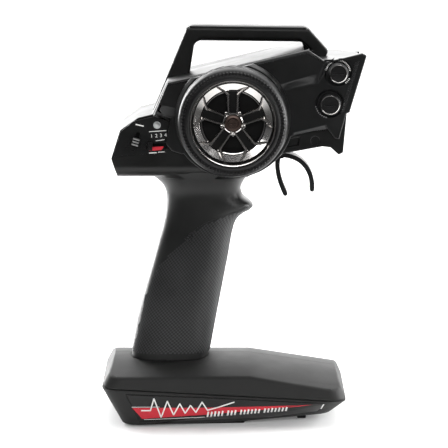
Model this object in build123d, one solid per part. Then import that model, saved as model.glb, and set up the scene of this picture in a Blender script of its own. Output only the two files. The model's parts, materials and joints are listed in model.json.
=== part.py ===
"""Pistol-grip radio transmitter for a model car: steering wheel, finger trigger, carry handle and battery base.

Millimetres. +Z is up, +X is the nose (trigger) side, -Y is the steering-wheel side, and Y = 0 is the plane
where the two body shells meet. The origin lies on the surface that the base stands on.
Outlines drawn from the side are lists of (X, Z) corners.
"""
from build123d import *
import math
import os

# ---------------------------------------------------------------- driving dimensions
WALL = 2.4                      # moulded wall of shells and base
HEAD_HALF = 27.0                # half width of the two body shells at the head
COVER_FACE = 32.0               # distance of a head cover's outer face from the middle plane
COVER_RECESS = 30.0             # same for the recessed field above the crease
GRIP_RUBBER = 1.2               # thickness of the rubber inlays on the grip
HANDLE_HALF = 7.0               # half width of the carry handle

WHEEL_X = -1.8
WHEEL_Z = 174.2
TYRE_R = 30.0
TYRE_BORE_R = 23.6              # tyre on rim
WHEEL_BACK = 38.0               # distances from the middle plane, on the -Y side
WHEEL_FRONT = 60.0
DISH_R = 32.0                   # round dish that the wheel sits in
SHAFT_R = 2.5
BUSH_R = 5.0
RUNNING_GAP = 0.05              # radial clearance of a shaft in its bush
SPOKES = 5

PIVOT_X = 25.0                  # trigger pivot
PIVOT_Z = 161.0
PIN_R = 1.5
TRIGGER_HALF = 6.0
SLOT_HALF = 7.6
SECTOR_TEETH = 40               # teeth of the whole circle that the sector is cut from
PINION_TEETH = 14
GEAR_MODULE = 0.8
GEAR_Y = (10.6, 14.6)
PINION_LEAN = 20.0              # pinion centre leans this many degrees forward of straight above the pivot

UPPER_KNOB = (56.3, 199.1, 5.7)     # x, z, radius
LOWER_KNOB = (51.9, 181.8, 6.0)
KNOB_OUT = 38.4                 # front and back of a knob, from the middle plane
KNOB_BACK = 31.0
KNOB_SHAFT_R = 1.5
KNOB_HOLE_R = 2.2

PANEL_FACE = 28.4
SWITCH_BACK = 24.6              # front of the switch bodies behind the shell wall
CAP_BACK = 28.8                 # underside of the two switch caps
SWITCH_TILT = 17.0              # the power switch leans this many degrees forward
SWITCH_CENTRE = (-55.4, 161.6)
SWITCH_TRAVEL = 3.0
SWITCH_CAP = (4.0, 4.6)         # width and height of the power switch's cap
SWITCH_SLOT = (2.2, 8.0)
RATE_START = (-47.8, 157.6)
RATE_TRAVEL = 7.5               # four positions, 2.5 apart
RATE_SLOT = (3.4, 11.6)         # height and length
LED_CENTRE = (-43.9, 169.5)
LED_R = 1.5

RIDGE_Z = 17.8                  # widest line of the base, at X = 0
RIDGE_SLOPE = 0.055             # it falls this much per millimetre forward
BASE_FLOOR = 0.8                # underside of the tray at the battery door
FLOOR_BEND_X = 1.6              # it rises from here forward, by this much per millimetre
FLOOR_RISE = 0.063
CORNER_STEPS = 5
ROOF_Z = 34.6                   # crest of the base's roof
CROWN_R = 115.0                 # radius of the roof across the base
ROOF_FALL = 8.6                 # degrees that the front of the roof falls
CELL_R = 7.2
CELL_LENGTH = 50.0
CELL_COUNT = 4
CELL_Z = 12.0
CELL_NUB = (2.6, 1.2)           # radius and height of the raised end
FIRST_CELL_X = -52.7
CELL_PITCH = 14.6
WELL_X = (-60.2, -1.2)
DOOR_X = (-61.6, 0.4)
DOOR_HALF = 26.2
DOOR_Z = (1.0, 3.4)
DOOR_GAP = 0.4

FROM_LOW_END = (Align.CENTER, Align.CENTER, Align.MIN)
PARTS = {}


# ---------------------------------------------------------------- helpers
def outline(points, radius=0.0):
    """Closed face with rounded corners; radius is one number or one for each corner."""
    return make_face(FilletPolyline(*points, radius=radius, close=True))


def across(face, y_low, y_high):
    """Solid of an (X, Z) face from y_low to y_high."""
    return Pos(0, y_high, 0) * extrude(Plane.XZ * face, y_high - y_low)


def upright(face, z_low, z_high):
    """Solid of an (X, Y) face from z_low to z_high."""
    return Pos(0, 0, z_low) * extrude(face, z_high - z_low)


def rod(x, z, radius, y_low, y_high):
    """Round bar along Y."""
    return across(Pos(x, z) * Circle(radius), y_low, y_high)


def block(x_low, x_high, y_low, y_high, z_low, z_high):
    """Plain box between six planes."""
    return upright(outline([(x_low, y_low), (x_high, y_low), (x_high, y_high), (x_low, y_high)]), z_low, z_high)


def half_space(side):
    """Everything on one side of the middle plane: side -1 is the wheel side."""
    return block(-200, 200, min(0, 200 * side), max(0, 200 * side), -50, 300)


def turned(points, x, z):
    """Solid of revolution about the Y line through (x, z); points are (radius, y)."""
    face = outline(points)
    return Pos(x, 0, z) * revolve(face, Axis.Y, 360)


def polar(cx, cz, radius, degrees):
    """Point on a circle in the side view, measured from +X towards +Z."""
    return (cx + radius * math.cos(math.radians(degrees)), cz + radius * math.sin(math.radians(degrees)))


def solid(shape):
    """The largest solid of a result, so that a sliver left by a cut is dropped."""
    return max(shape.solids(), key=lambda item: item.volume)


def group(shapes):
    """Several separate solids that share one node."""
    return Compound(children=[solid(shape) for shape in shapes])


def keep(name, shape):
    """Register a finished node."""
    PARTS[name] = shape


# ---------------------------------------------------------------- head and grip forms
HEAD = [(-66.2, 138.8), (-69.7, 150.4), (-64.6, 166.4), (-54.5, 173.4), (-46.3, 175.4), (-38.3, 193.5),
        (37.8, 211.3), (38.4, 203.6), (70.0, 203.6), (61.6, 176.0), (59.7, 153.8), (57.2, 152.6),
        (52.5, 156.8), (48.0, 157.2), (26.2, 153.2), (20.6, 148.6), (4.5, 140.2), (-46.0, 139.4)]
HEAD_INNER = [(-63.0, 143.0), (-66.8, 150.2), (-62.4, 164.6), (-53.0, 170.8), (-44.6, 173.0), (-36.4, 191.4),
              (35.4, 208.2), (36.0, 201.0), (66.6, 201.0), (59.2, 176.2), (57.3, 157.6),
              (53.4, 159.4), (25.6, 156.0), (18.6, 150.4), (3.8, 143.4), (-46.0, 143.2)]
# (Y, Z) outline of what the rounding takes off the head's lower edges, and how far forward it goes
LOWER_ROUNDING = [(15.0, 130.0), (15.0, 138.7), (20.0, 139.4), (23.6, 141.0), (26.0, 143.6), (27.2, 147.2),
                  (40.0, 147.2), (40.0, 130.0)]
ROUNDING_X = (-80.0, 4.0)

# height, rear X, front X, half width, corner size
GRIP = [(30.0, -61.0, -16.6, 18.0, 12.0), (118.0, -40.0, 0.4, 18.0, 12.0),
        (131.0, -39.8, 2.6, 18.6, 12.0), (146.0, -50.0, 14.0, 26.4, 12.0)]
SPUR = [(-10.0, 131.0), (2.3, 130.6), (4.1, 125.7), (9.4, 121.4), (9.0, 119.0), (3.6, 116.2),
        (-0.8, 111.6), (-10.0, 106.0)]
SPUR_PLAN = [(-10.0, -15.0), (2.0, -12.5), (7.6, -7.5), (9.6, 0.0), (7.6, 7.5), (2.0, 12.5), (-10.0, 15.0)]
RUBBER_EDGE = [(12.0, 122.2), (-0.5, 118.1), (-11.8, 114.7), (-20.2, 110.7), (-28.7, 103.8), (-37.2, 95.2),
               (-42.9, 88.4), (-48.6, 76.9), (-51.4, 68.2), (-55.5, 50.9), (-59.0, 36.4), (30.0, 36.4),
               (30.0, 122.2)]


def soft_rectangle(x_low, x_high, half, corner):
    """Rectangle in plan whose corners are cut by three short sides each."""
    points = []
    middle = (x_low + x_high) / 2
    for number in range(16):
        quarter, step = divmod(number, 4)
        angle = math.radians(90 * quarter + 30 * step)
        sign_x = 1 if quarter in (0, 3) else -1
        sign_y = 1 if quarter in (0, 1) else -1
        centre_x = middle + sign_x * ((x_high - x_low) / 2 - corner)
        points.append((centre_x + corner * math.cos(angle), sign_y * (half - corner) + corner * math.sin(angle)))
    return outline(points)


def grip_form(inset):
    """Tapered hand grip with a flared neck, drawn in by inset all round."""
    sections = []
    for z, rear, front, half, corner in GRIP:
        sections.append(Pos(0, 0, z) * soft_rectangle(rear + inset, front - inset, half - inset, corner - inset))
    return loft(sections, ruled=True)


def spur_form():
    """Finger spur that parts the trigger finger from the other three."""
    return across(outline(SPUR), -20, 20) & upright(outline(SPUR_PLAN), 100, 135)


def rubber_region():
    """Everything below and in front of the curved edge of the rubber inlays."""
    return across(outline(RUBBER_EDGE), -40, 40)


def handle_form():
    """Carry handle: top bar, long rear leg let into the back of the head, short raked front leg."""
    points = [(-47.3, 174.1), (-27.4, 221.8), (-24.8, 223.2), (38.7, 222.3), (40.9, 221.0), (52.0, 208.6),
              (48.4, 201.0), (47.4, 196.6), (39.6, 196.6), (38.8, 206.6), (42.0, 209.4), (37.1, 213.6), (-21.3, 214.3), (-23.4, 212.4),
              (-26.0, 196.0), (-36.6, 174.1)]
    return across(outline(points), -HANDLE_HALF, HANDLE_HALF)


def head_form():
    """The head between the side covers, rounded along its lower edges."""
    head = across(outline(HEAD), -HEAD_HALF, HEAD_HALF)
    low, high = ROUNDING_X
    corner = Pos(low, 0, 0) * extrude(Plane.YZ * outline(LOWER_ROUNDING), high - low)
    return head - [corner, mirror(corner, Plane.XZ)]


# ---------------------------------------------------------------- fasteners
# x, z, far end of the shank, seat of the head (Y positions); the heads are on the +Y side
CASE_SCREWS = [(-57.0, 150.0, -14, 20.0), (-27.0, 181.5, -14, 20.0), (45.5, 190.0, -14, 20.0),
               (-31.0, 112.0, -8, 11.0), (-47.0, 52.0, -8, 11.0)]
SCREW_R = 1.3
SCREW_HEAD_R = 2.6
SCREW_HEAD = 2.2
BASE_SCREWS = [(9.4, 16.0), (9.4, -16.0), (36.0, 9.0), (36.0, -9.0)]
BASE_SCREW_TOP = 20.0
HANDLE_SCREWS = [(-35.2, 186.0), (43.4, 199.6)]


POT_BACK = 3.0                  # back of the steering potentiometer
BOARD_Y = (12.0, 13.6)
BOARD_POSTS = [(-39.0, 149.0), (-15.6, 169.4)]


def case_screw(x, z, low, seat):
    """One long screw with a pan head."""
    head = rod(x, z, SCREW_HEAD_R, seat, seat + SCREW_HEAD)
    slot = block(x - 0.4, x + 0.4, seat + 1.2, seat + 3, z - 2, z + 2)
    return rod(x, z, SCREW_R, low, seat) + head - slot


def case_screw_space():
    """What the long screws and their driver holes take out of the shells."""
    shanks = [rod(x, z, SCREW_R, low, seat) for x, z, low, seat in CASE_SCREWS]
    return shanks + [rod(x, z, SCREW_HEAD_R + 0.2, seat, 40) for x, z, low, seat in CASE_SCREWS]


def case_pillars(side):
    """Screw pillars on the inside of one shell."""
    pillars = []
    for x, z, low, seat in CASE_SCREWS:
        reach = HEAD_HALF - 1 if z > 130 else 16.6
        pillars.append(rod(x, z, 4.2, min(0, side * reach), max(0, side * reach)))
    for x, z in HANDLE_SCREWS:
        pillars.append(rod(x, z, 3.4, min(0, side * 13), max(0, side * 13)))
    if side > 0:
        pillars.append(rod(WHEEL_X, WHEEL_Z, 6.0, POT_BACK, HEAD_HALF - 1))
        pillars += [rod(x, z, 2.4, BOARD_Y[1], HEAD_HALF - 1) for x, z in BOARD_POSTS]
    return pillars


# ---------------------------------------------------------------- body shells
def wheel_bore(radius):
    return rod(WHEEL_X, WHEEL_Z, radius, -45, -15)


def body_shells():
    """The two moulded halves, with pillars, wheel bore, trigger slot and the seats for their neighbours."""
    cavity = across(outline(HEAD_INNER), -(HEAD_HALF - WALL), HEAD_HALF - WALL)
    cavity -= across(outline([(-50, 170), (-24, 170), (-16, 200), (-50, 200)]), -9.2, 9.2)
    cavity = [cavity, grip_form(3.6) - block(-100, 100, -50, 50, 143.5, 200)]
    grip = grip_form(0) + spur_form()
    whole = (grip - rubber_region()) + [grip_form(GRIP_RUBBER), head_form()]
    openings = [handle_form(), wheel_bore(BUSH_R), switch_slot(), rate_slot()]
    openings += [rod(*LED_CENTRE, LED_R, -40, -20)] + handle_screw_space() + case_screw_space()
    openings.append(across(outline([(10, 138), (37, 138), (37, 160), (10, 160)]), -SLOT_HALF, SLOT_HALF))
    for x, z, radius in (UPPER_KNOB, LOWER_KNOB):
        openings.append(rod(x, z, KNOB_HOLE_R, -40, -20))
    hollow = whole - cavity
    rubber = (grip & rubber_region()) - grip_form(GRIP_RUBBER)
    for name, side in (("right", -1), ("left", 1)):
        pillars = [pillar & whole for pillar in case_pillars(side)]
        keep(name + "_body_shell", solid(((hollow & half_space(side)) + pillars) - openings))
        keep("grip_rubber_" + name, solid((rubber & half_space(side)) - case_screw_space()))


def handle_screw_space():
    """Cross pins that hold the handle's feet between the shells."""
    return [rod(x, z, 1.2, -12, 12) for x, z in HANDLE_SCREWS]


def carry_handle():
    form = handle_form()
    bar = [edge for edge in form.edges() if edge.center().Z > 213.0 and abs(edge.center().Y) > 6 and edge.length > 30]
    keep("carry_handle", solid(chamfer(bar, 1.6) - handle_screw_space()))


# ---------------------------------------------------------------- head covers
COVER = [(-46.0, 174.6), (-38.0, 193.4), (39.7, 211.5), (49.7, 204.8), (69.6, 209.8), (72.2, 208.6),
         (62.9, 177.0), (61.0, 176.2), (57.2, 161.9), (55.0, 162.3), (50.5, 168.1), (28.9, 163.0),
         (10.0, 160.0), (-30.0, 153.6), (-35.7, 155.4), (-39.0, 159.4), (-36.2, 174.0)]
COVER_ROUND = [0.5, 0.5, 1, 2, 1, 1, 1, 1, 0.5, 0.5, 1, 0, 0, 1, 2, 2, 0.5]
CREASE_TOP = [(-50.0, 181.8), (-42.1, 181.2), (-30.0, 178.4), (23.2, 192.3), (46.9, 199.0), (49.4, 204.9)]
CREASE_FOOT = [(-50.0, 174.3), (-43.8, 174.3), (-30.5, 174.5), (24.8, 188.6), (46.0, 194.2), (52.4, 205.4)]
FIELD_TOP = [(40.4, 216.0), (-45.0, 196.0)]
CHIN_FACE = [(32.0, 165.6), (49.6, 169.9), (55.0, 160.0), (32.0, 155.0)]
CHIN_DEEP = [(32.0, 163.7), (50.4, 168.1), (55.0, 160.0), (32.0, 155.0)]

# everything under the line that the top of the head follows
UNDER_TOP = [(-60.0, 188.0), (60.0, 216.0), (60.0, 120.0), (-60.0, 120.0)]


def head_cover(side):
    """Side plate of the head, with a recessed upper field that ends in a sloped crease."""
    face = outline(COVER, COVER_ROUND) + (Pos(WHEEL_X, WHEEL_Z) * Circle(34.0) & outline(UNDER_TOP))
    plate = across(face, HEAD_HALF, COVER_FACE)
    field = sloped_cut(CREASE_FOOT + FIELD_TOP, CREASE_TOP + FIELD_TOP)
    plate = plate - [field, sloped_cut(CHIN_FACE, CHIN_DEEP)]
    if side < 0:
        plate = mirror(plate, Plane.XZ)
    return plate


def sloped_cut(at_face, at_depth):
    """Cutter whose outline changes from the cover's face down to the depth of the recessed field."""
    surface = Plane.XZ.offset(-COVER_FACE) * outline(at_face)
    floor = Plane.XZ.offset(-COVER_RECESS) * outline(at_depth)
    return loft([surface, floor], ruled=True)


# everything above the front corner that the plain left cover leaves out
LEFT_CORNER = [(49.7, 204.8), (90.0, 204.8), (90.0, 220.0), (49.7, 220.0)]


def head_covers():
    """The wheel-side cover with its bores and knob recesses, and the plain one with a lower front corner."""
    right = head_cover(-1) - wheel_bore(BUSH_R)
    for x, z, radius in (UPPER_KNOB, LOWER_KNOB):
        right -= rod(x, z, radius + 1.5, -40, 0.4 - KNOB_BACK) + rod(x, z, KNOB_HOLE_R, -40, -20)
    keep("right_head_cover", solid(right))
    keep("left_head_cover", solid(head_cover(1) - across(outline(LEFT_CORNER), 0, 50)))


def nose_cap():
    """Low crowned lid over the front of the head, seen through the notch between the covers."""
    top = Spline((38.6, 204.6), (46.0, 205.5), (54.5, 206.0), (62.0, 205.6), (69.9, 204.5))
    rim = Polyline((69.9, 204.5), (69.9, 203.4), (38.6, 203.4), (38.6, 204.6))
    cap = across(make_face([top, rim]), -HEAD_HALF, HEAD_HALF)
    keep("nose_cap", solid(cap - [handle_form(), head_form()]))


# ---------------------------------------------------------------- control panel
PANEL = [(-65.4, 152.1), (-68.6, 150.6), (-64.2, 165.8), (-61.0, 168.2), (-57.4, 171.4), (-45.6, 174.2),
         (-36.6, 174.0), (-39.6, 159.6), (-36.4, 155.0), (-50.0, 153.2)]


def switch_slot():
    """Opening that leans like the power switch."""
    width, length = SWITCH_SLOT
    slot = RectangleRounded(width, length, width / 2 - 0.05)
    return across(Pos(*SWITCH_CENTRE) * Rot(0, 0, -SWITCH_TILT) * slot, -40, -20)


def rate_slot():
    x, z = RATE_START
    height, length = RATE_SLOT
    return across(Pos(x + RATE_TRAVEL / 2, z) * RectangleRounded(length, height, 0.8), -40, -20)


def control_panel():
    """Panel plate with the power switch, the rate selector and the lamp, and the parts behind it."""
    plate = across(outline(PANEL, [1, 1, 2, 2, 3, 1, 0.5, 2, 2, 1]), -PANEL_FACE, -HEAD_HALF)
    plate -= head_cover(-1)
    x, z = RATE_START
    plate -= switch_slot() + rate_slot() + rod(*LED_CENTRE, LED_R, -40, -20)
    keep("control_panel", solid(plate))
    sx, sz = SWITCH_CENTRE
    keep("power_switch_body", block(sx - 4, sx + 4, -SWITCH_BACK, -19.0, sz - 6, sz + 4.4))
    keep("rate_selector_body", block(x - 3, x + RATE_TRAVEL + 4, -SWITCH_BACK, -19.0, z - 3.4, z + 3.4))
    x, z = LED_CENTRE
    dome = Pos(x, -PANEL_FACE - 0.2, z) * Sphere(LED_R)
    lamp = rod(x, z, LED_R, -PANEL_FACE - 0.2, -22.0) + dome
    keep("power_led", solid(lamp))


def sliders():
    """The two slide switches' moving caps, each with a stem through its slot."""
    lean = Pos(*SWITCH_CENTRE) * Rot(0, 0, -SWITCH_TILT)
    down = lean * Pos(0, -SWITCH_TRAVEL / 2)
    cap = across(down * RectangleRounded(*SWITCH_CAP, 0.6), -30.6, -CAP_BACK)
    stem = across(down * RectangleRounded(1.4, 3.6, 0.3), -CAP_BACK, -SWITCH_BACK - 0.2)
    keep("power_switch_slider", solid(cap + stem))
    x, z = RATE_START
    cap = across(Pos(x, z) * RectangleRounded(2.6, 4.4, 0.5), -30.4, -CAP_BACK)
    stem = across(Pos(x, z) * RectangleRounded(1.6, 2.4, 0.3), -CAP_BACK, -SWITCH_BACK - 0.2)
    keep("rate_selector_slider", solid(cap + stem))


# ---------------------------------------------------------------- steering wheel
def wheel_tyre():
    profile = [(TYRE_BORE_R, -WHEEL_BACK - 1), (27.6, -WHEEL_BACK), (29.4, -WHEEL_BACK - 1.2), (TYRE_R, -42.0),
               (TYRE_R, -55.0), (29.2, -57.6), (27.2, -59.4), (25.0, -WHEEL_FRONT), (TYRE_BORE_R, -59.2)]
    keep("wheel_tyre", turned(profile, WHEEL_X, WHEEL_Z))


def spoke_outline():
    """One spoke with its forked outer end, drawn pointing along +Y of the sketch."""
    left = [(-3.2, 3.0), (-3.2, 15.6), (-9.6, 19.4), (-8.6, 21.2)]
    right = [(-x, y) for x, y in reversed(left)]
    return outline(left + [(0.0, 17.4)] + right)


def wheel_rim():
    """Barrel with a back web, and five forked spokes at the front."""
    barrel = turned([(20.6, -40.0), (TYRE_BORE_R, -40.0), (TYRE_BORE_R, -58.6), (22.4, -58.6), (20.6, -53.0)],
                    WHEEL_X, WHEEL_Z)
    web = turned([(SHAFT_R, -41.0), (21.0, -41.0), (21.0, -43.0), (SHAFT_R, -43.0)], WHEEL_X, WHEEL_Z)
    hub = turned([(SHAFT_R, -41.0), (5.0, -41.0), (5.0, -55.4), (SHAFT_R, -55.4)], WHEEL_X, WHEEL_Z)
    rim = barrel + web + hub
    for index in range(SPOKES):
        turn = Pos(WHEEL_X, WHEEL_Z) * Rot(0, 0, index * 360 / SPOKES)
        rim += across(turn * spoke_outline(), -56.0, -52.0)
    keep("wheel_rim", solid(rim))


def wheel_centre():
    """Cap, screw, shaft and centring arm that turn with the wheel, and the bush they turn in."""
    cap = turned([(1.6, -57.6), (4.4, -57.6), (4.8, -56.0), (1.6, -56.0)], WHEEL_X, WHEEL_Z)
    keep("wheel_hub_cap", cap)
    head = rod(WHEEL_X, WHEEL_Z, 2.4, -59.2, -57.6)
    drive = across(Pos(WHEEL_X, WHEEL_Z) * (Rectangle(3.2, 0.7) + Rectangle(0.7, 3.2)), -60, -58.5)
    keep("wheel_screw", solid(head + rod(WHEEL_X, WHEEL_Z, 1.5, -57.7, -50.0) - drive))
    shaft = rod(WHEEL_X, WHEEL_Z, SHAFT_R, -55.3, -0.4) - rod(WHEEL_X, WHEEL_Z, 1.5, -57.7, -50.0)
    keep("wheel_shaft", solid(shaft))
    arm = rod(WHEEL_X, WHEEL_Z, 5.4, -19.4, -15.4)
    arm += across(Pos(WHEEL_X, WHEEL_Z - 9) * RectangleRounded(4.4, 14, 2.0), -19.4, -15.4)
    keep("steering_centring_arm", solid(arm - rod(WHEEL_X, WHEEL_Z, SHAFT_R, -30, 0)))
    bush = rod(WHEEL_X, WHEEL_Z, BUSH_R, -37.0, -21.0) - rod(WHEEL_X, WHEEL_Z, SHAFT_R + RUNNING_GAP, -40, -20)
    keep("wheel_bush", solid(bush))
    dish = turned([(BUSH_R, -COVER_FACE), (DISH_R, -COVER_FACE), (DISH_R, -34.0), (DISH_R - 1.6, -36.4),
                   (DISH_R - 3.4, -36.4), (DISH_R - 5.0, -34.0), (BUSH_R, -34.0)], WHEEL_X, WHEEL_Z)
    keep("wheel_dish", solid(dish & across(outline(UNDER_TOP), -50, 0)))
    pot = block(WHEEL_X - 8, WHEEL_X + 8, -8.0, POT_BACK, WHEEL_Z - 8, WHEEL_Z + 8)
    keep("steering_pot_body", solid(pot - rod(WHEEL_X, WHEEL_Z, SHAFT_R + RUNNING_GAP, -9, 0)))


def coil_spring(x, z, radius, wire, y_low, turns):
    """Torsion spring wound round a Y line."""
    height = turns * wire * 1.15
    path = Helix(pitch=wire * 1.15, height=height, radius=radius)
    section = Plane(origin=path @ 0, z_dir=path % 0) * Circle(wire / 2)
    wound = sweep(section, path=path, is_frenet=True)
    return Pos(x, y_low + height, z) * Rot(90, 0, 0) * wound


# ---------------------------------------------------------------- trigger
def gear_outline(teeth, first, count, backlash):
    """Involute teeth of GEAR_MODULE on a circle, count of them starting with number first."""
    pitch_r = GEAR_MODULE * teeth / 2
    base_r = pitch_r * math.cos(math.radians(20))
    tip_r = pitch_r + 0.9 * GEAR_MODULE
    root_r = pitch_r - 1.25 * GEAR_MODULE
    low_r = max(base_r, root_r)

    def flank(radius):
        """Angle between a tooth's middle and its flank at this radius."""
        angle = math.acos(base_r / radius)
        at_pitch = math.radians(20)
        half_tooth = (math.pi * GEAR_MODULE / 2 - backlash) / (2 * pitch_r)
        return half_tooth + (math.tan(at_pitch) - at_pitch) - (math.tan(angle) - angle)

    points = []
    step = 2 * math.pi / teeth
    for number in range(first, first + count):
        middle = number * step
        points.append((root_r, middle - flank(low_r) - 0.004))
        for radius in (low_r, pitch_r, tip_r):
            points.append((radius, middle - flank(radius)))
        for radius in (tip_r, pitch_r, low_r):
            points.append((radius, middle + flank(radius)))
        points.append((root_r, middle + flank(low_r) + 0.004))
    return [(radius * math.cos(angle), radius * math.sin(angle)) for radius, angle in points]


def gear_pair():
    """Sector on the trigger and the pinion it drives; a tooth of one stands in a gap of the other."""
    line = 90.0 - PINION_LEAN
    distance = GEAR_MODULE * (SECTOR_TEETH + PINION_TEETH) / 2 + 0.05
    pinion_x, pinion_z = polar(PIVOT_X, PIVOT_Z, distance, line)
    teeth = gear_outline(SECTOR_TEETH, -4, 9, 0.12)
    rim = outline([(0.0, -4.0)] + teeth + [(0.0, 4.0)])
    place = Pos(PIVOT_X, PIVOT_Z) * Rot(0, 0, line)
    sector = across(place * (rim + Circle(4.4)), *GEAR_Y) - rod(PIVOT_X, PIVOT_Z, PIN_R, 0, 30)
    keep("trigger_sector_gear", solid(sector))
    place = Pos(pinion_x, pinion_z) * Rot(0, 0, line + 180 + 180 / PINION_TEETH)
    pinion = across(place * outline(gear_outline(PINION_TEETH, 0, PINION_TEETH, 0.12)), *GEAR_Y)
    pinion += rod(pinion_x, pinion_z, PIN_R, GEAR_Y[1], 22.0)
    keep("throttle_pinion", solid(pinion))
    pot = block(pinion_x - 7.5, pinion_x + 7.5, 16.0, HEAD_HALF - WALL, pinion_z - 7.5, pinion_z + 7.5)
    keep("throttle_pot_body", solid(pot - rod(pinion_x, pinion_z, PIN_R + RUNNING_GAP, 10, 22.6)))


def prong(points, thickness):
    """A bent strip of even thickness along a smooth line, with round ends."""
    strip = trace(Spline(*points), thickness)
    for end in (points[0], points[-1]):
        strip += Pos(*end) * Circle(thickness / 2)
    return strip


def trigger():
    """Hoop-shaped finger trigger on its pin: one prong in front of the finger, one behind."""
    rear = prong([(24.0, 148.0), (23.6, 142.6), (24.8, 135.6), (28.0, 127.4)], 2.6)
    front = prong([(24.0, 149.4), (30.6, 148.8), (36.6, 146.0), (41.0, 140.6), (43.0, 134.4), (43.2, 129.8)], 2.6)
    stem = outline([(21.4, 161.0), (22.4, 147.2), (27.0, 147.6), (28.6, 161.0)], [1, 1, 1, 1])
    hoop = across(rear + front + stem, -TRIGGER_HALF, TRIGGER_HALF)
    hub = rod(PIVOT_X, PIVOT_Z, 4.6, -6.8, 6.8)
    keep("trigger", solid(hoop + hub - rod(PIVOT_X, PIVOT_Z, PIN_R, -20, 20)))
    keep("trigger_pin", rod(PIVOT_X, PIVOT_Z, PIN_R, -15.6, GEAR_Y[1] + 0.6))


def trigger_bracket():
    """Two lugs on the floor of the head, joined over the hub, which carry the trigger pin."""
    lug = outline([(17.0, 149.0), (33.4, 152.0), (31.0, 168.0), (19.0, 168.0)])
    bracket = across(lug, -9.8, 9.8) - block(0, 50, -8.0, 8.0, 140, 166.4)
    floor = across(outline(HEAD), -40, 40) - across(outline(HEAD_INNER), -24.6, 24.6)
    bracket = bracket - [floor, rod(PIVOT_X, PIVOT_Z, PIN_R + RUNNING_GAP, -20, 20)]
    keep("trigger_bracket", solid(bracket))


# ---------------------------------------------------------------- trim knobs
def trim_knob(name, x, z, radius):
    """Knob with a coin slot, on a thin shaft that ends in a trim potentiometer."""
    knob = rod(x, z, radius, -KNOB_OUT, -KNOB_BACK) - across(Pos(x, z) * Rectangle(1.0, radius), -40, -KNOB_OUT + 0.8)
    rim = [e for e in knob.edges().filter_by(GeomType.CIRCLE) if e.radius > radius - 0.1 and e.center().Y < -38]
    knob = chamfer(rim, 0.8)
    keep(name + "_trim_knob", solid(knob + rod(x, z, KNOB_SHAFT_R, -KNOB_BACK, -18.0)))
    pot = block(x - 4.5, x + 4.5, -24.6, -16.0, z - 7, z + 1.8)
    keep(name + "_trim_pot", solid(pot - rod(x, z, KNOB_SHAFT_R + RUNNING_GAP, -30, -17.6)))


# ---------------------------------------------------------------- base
def base_plan(rear, front, half_rear, half_front, corner):
    """Corners of the base in plan: straight sides that draw in towards the front, with round corners."""
    right = []
    for x, y, start in ((rear + corner, corner - half_rear, 180), (front - corner, corner - half_front, 270)):
        for step in range(CORNER_STEPS + 1):
            right.append(polar(x, y, corner, start + 90 * step / CORNER_STEPS))
    return right + [(x, -y) for x, y in reversed(right)]


def ridge_height(x, lift):
    """Height of the widest line of the base at x."""
    return RIDGE_Z - RIDGE_SLOPE * x + lift


def base_upper(inset):
    """Upper half: sides draw in upwards, under a roof crowned across and falling to the front."""
    low = base_plan(-75.8 + inset, 62.4 - inset, 41 - inset, 41 - inset, 9)
    high = base_plan(-65.6 + inset, 53.6 - inset, 35.0 - inset, 35.0 - inset, 8)
    sides = ConvexPolyhedron([(x, y, ridge_height(x, 0)) for x, y in low]
                             + [(x, y, ridge_height(x, 20)) for x, y in high])
    roof = Pos(-100, 0, ROOF_Z - CROWN_R) * Rot(0, 90, 0) * Cylinder(CROWN_R - inset, 220, align=FROM_LOW_END)
    slope = Pos(8.0, 0, ROOF_Z) * Rot(0, ROOF_FALL, 0) * Pos(-8.0, 0, -ROOF_Z) * roof
    return sides & roof & slope


def floor_height(x):
    """Height of the tray's underside at x."""
    return BASE_FLOOR + FLOOR_RISE * max(0.0, x - FLOOR_BEND_X)


def base_lower(inset):
    """Lower half: sides and ends draw in to the floor, more so at the front, where the floor rises."""
    low = base_plan(-64.0 + inset, 54.0 - inset, 39.4 - inset, 25.0 - inset, 9)
    high = base_plan(-75.8 + inset, 62.4 - inset, 41 - inset, 41 - inset, 9)
    bend_half = 31.1 - inset
    low += [(FLOOR_BEND_X, -bend_half), (FLOOR_BEND_X, bend_half)]
    return ConvexPolyhedron([(x, y, floor_height(x) + inset) for x, y in low]
                            + [(x, y, ridge_height(x, 0)) for x, y in high])


def post(x, y, radius, z_low, z_high):
    """Upright round bar."""
    return upright(Pos(x, y) * Circle(radius), z_low, z_high)


def cell_places():
    return [FIRST_CELL_X + index * CELL_PITCH for index in range(CELL_COUNT)]


def cells():
    """AA cells side by side across the base, each with its raised positive end."""
    end = CELL_LENGTH / 2
    nub_r, nub = CELL_NUB
    return [rod(x, CELL_Z, CELL_R, -end, end - nub) + rod(x, CELL_Z, nub_r, end - nub, end) for x in cell_places()]


def contacts():
    """Spring plates at both ends of the cells."""
    plates = []
    for x in cell_places():
        for low in (-CELL_LENGTH / 2 - 0.8, CELL_LENGTH / 2 + 0.2):
            plates.append(block(x - 4.5, x + 4.5, low, low + 0.6, 6.5, 17.0))
    return plates


def screw_seat(x):
    """Height of the seat of a base screw's head."""
    return floor_height(x) + 2.6


def base_screws():
    """Screws that come up through the tray into the roof."""
    return [post(x, y, SCREW_HEAD_R, screw_seat(x) - 1.8, screw_seat(x))
            + post(x, y, SCREW_R, screw_seat(x) - 0.6, BASE_SCREW_TOP) for x, y in BASE_SCREWS]


STRIP_OUTER = [(-56.0, -34.2), (5.0, -30.4), (5.0, 30.4), (-56.0, 34.2)]
STRIP_INNER = [(-70.0, -30.8), (1.8, -27.2), (1.8, 27.2), (-70.0, 30.8)]
STRIP_TOP = 2.0                 # let into the tray
FRONT_FOOT = (37.5, 16.5)       # middle of a front foot, to either side
FOOT_SIZE = 5.0
FOOT_TOP = 4.2


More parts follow.
